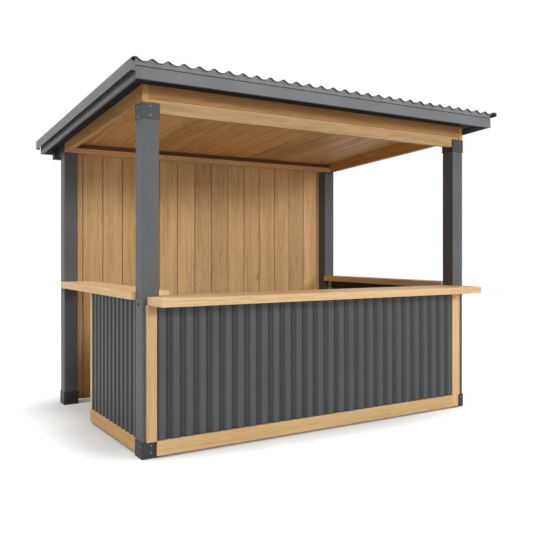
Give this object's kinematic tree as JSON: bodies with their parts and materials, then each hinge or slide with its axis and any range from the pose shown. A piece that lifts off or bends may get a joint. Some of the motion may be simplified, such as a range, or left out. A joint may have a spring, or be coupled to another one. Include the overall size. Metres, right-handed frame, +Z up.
{
  "type": "garden bar pavilion",
  "caption": "Open garden bar pavilion: corner posts carry a sloping corrugated roof over counters on half-height clad walls, with a boarded back wall.",
  "frame": {"origin": "on the ground under the middle of the roof and counter outline", "axes": "+X along the front, towards the right end seen from the front; +Y from the front counter to the back wall; +Z up"},
  "size_m": [3.3472, 2.5286, 2.5834],
  "materials": {
    "painted_timber": "satin grey paint",
    "dark_steel": "matt powder coat",
    "timber": "oiled softwood boards",
    "counter_timber": "oiled planed boards",
    "soffit_paint": "matt dark paint",
    "roof_metal": "satin coated steel",
    "fascia_metal": "satin coated steel",
    "wall_metal": "satin coated steel"
  },
  "bodies": {
    "root": {"post_front_left": "painted_timber", "post_front_right": "painted_timber", "post_back_left": "painted_timber", "post_back_right": "painted_timber", "shoe_front_left": "dark_steel", "shoe_front_right": "dark_steel", "shoe_back_left": "dark_steel", "shoe_back_right": "dark_steel", "sleeve_front_left": "dark_steel", "sleeve_front_right": "dark_steel", "rear_eaves_rail": "dark_steel", "rear_arms": "dark_steel", "front_beam": "timber", "front_header": "timber", "rake_left": "timber", "rake_right": "timber", "back_beam": "timber", "ceiling_boards": "timber", "roof_battens": "timber", "back_wall_boards": "timber", "back_wall_rails": "timber", "front_stile_left": "timber", "front_stile_right": "timber", "front_bottom_rail": "timber", "front_top_rail": "timber", "left_end_stile": "timber", "left_bottom_rail": "timber", "left_top_rail": "timber", "right_end_stile": "timber", "right_bottom_rail": "timber", "right_top_rail": "timber", "front_counter": "counter_timber", "left_shelf": "counter_timber", "right_shelf": "counter_timber", "eaves_soffit": "soffit_paint", "roof_sheet": "roof_metal", "eaves_closure": "roof_metal", "verge_trim": "roof_metal", "fascia_front": "fascia_metal", "fascia_back": "fascia_metal", "fascia_left": "fascia_metal", "fascia_right": "fascia_metal", "front_sheet": "wall_metal", "left_sheet": "wall_metal", "right_sheet": "wall_metal"}
  },
  "joints": []
}
